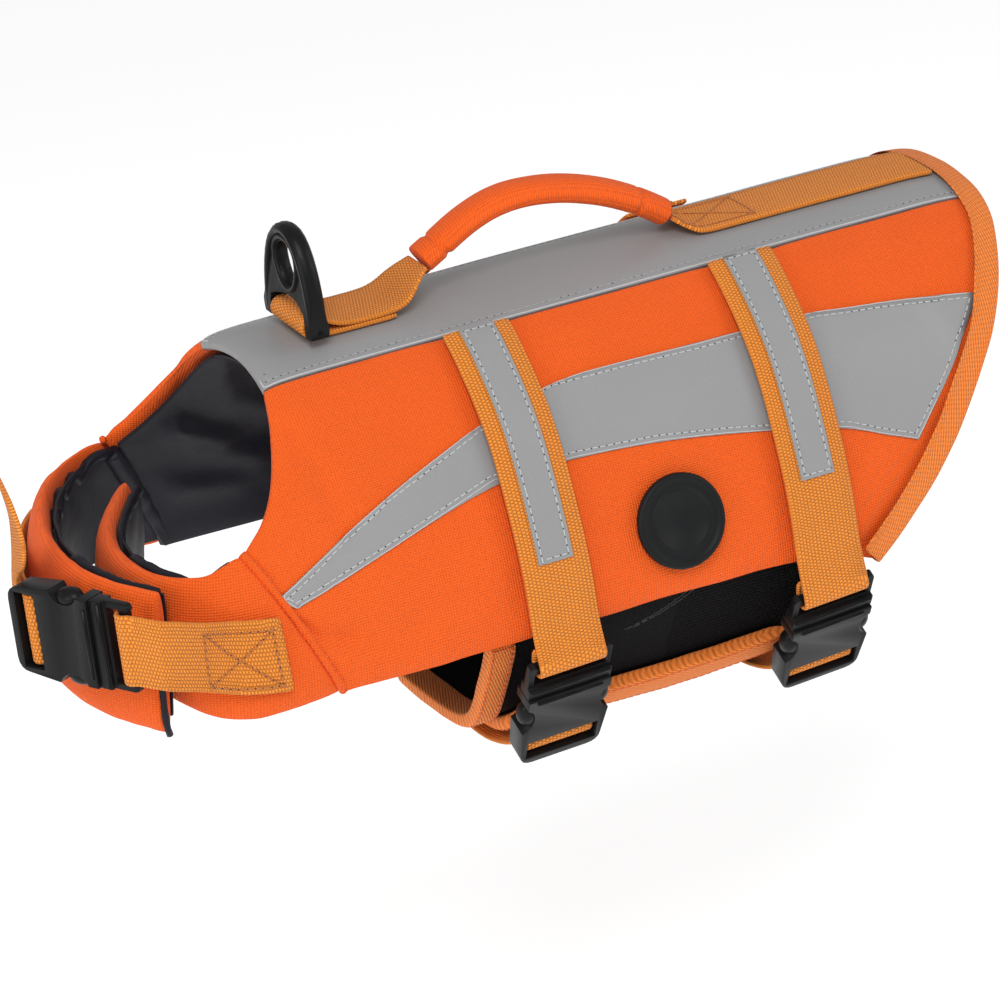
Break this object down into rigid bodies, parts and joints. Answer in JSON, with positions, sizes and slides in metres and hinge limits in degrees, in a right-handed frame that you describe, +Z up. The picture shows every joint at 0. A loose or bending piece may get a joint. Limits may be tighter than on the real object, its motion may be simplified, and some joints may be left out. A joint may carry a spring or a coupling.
{
  "type": "dog life jacket",
  "caption": "Padded dog life jacket filled out as worn, with grab handle, D-ring, reflective strips, overlapping chest and belly flaps and side-release buckles.",
  "frame": {"origin": "underside of the lined back panel, on the centre plane, midway between neck and tail", "axes": "+X towards the tail, -Y towards the side with the badge and the belly buckles, +Z up"},
  "size_m": [0.378, 0.1636, 0.1945],
  "materials": {
    "oxford_cloth": "coarse plain-weave oxford cloth over foam",
    "reflective_cloth": "smooth reflective cloth, stitched along its edges",
    "lining_cloth": "smooth dark lining",
    "webbing": "basket-weave webbing",
    "binding_tape": "twill binding tape",
    "belly_cloth": "black loop-faced cloth",
    "black_plastic": "moulded, satin",
    "black_rubber": "moulded, matte"
  },
  "bodies": {
    "jacket": {"side_near": "oxford_cloth", "side_far": "oxford_cloth", "chest_flap_near": "oxford_cloth", "chest_flap_far": "oxford_cloth", "handle_grip": "oxford_cloth", "back_strip": "reflective_cloth", "swoosh_near": "reflective_cloth", "swoosh_far": "reflective_cloth", "strap_tape_front_near": "reflective_cloth", "strap_tape_front_far": "reflective_cloth", "strap_tape_rear_near": "reflective_cloth", "strap_tape_rear_far": "reflective_cloth", "lining_back": "lining_cloth", "lining_near": "lining_cloth", "lining_far": "lining_cloth", "chest_lining_near": "lining_cloth", "chest_lining_far": "lining_cloth", "strap_front_near": "webbing", "strap_front_far": "webbing", "strap_rear_near": "webbing", "strap_rear_far": "webbing", "chest_webbing_near": "webbing", "chest_webbing_far": "webbing", "chest_webbing_tail": "webbing", "spine_webbing_front": "webbing", "spine_webbing_rear": "webbing", "rear_binding": "binding_tape", "belly_binding_front": "binding_tape", "belly_binding_rear": "binding_tape", "belly_binding_far": "binding_tape", "belly_near": "belly_cloth", "belly_far": "belly_cloth", "buckle_chest_plug": "black_plastic", "buckle_chest_socket": "black_plastic", "buckle_front_plug": "black_plastic", "buckle_front_socket": "black_plastic", "buckle_rear_plug": "black_plastic", "buckle_rear_socket": "black_plastic", "badge": "black_rubber"},
    "d_ring": {"d_ring": "black_plastic"}
  },
  "joints": [
    {"name": "d_ring_swing", "type": "hinge", "parent": "jacket", "child": "d_ring", "pos_m": [-0.1004, 0, 0.0135], "axis": [0, 1, 0], "range_deg": [-85, 30]}
  ]
}
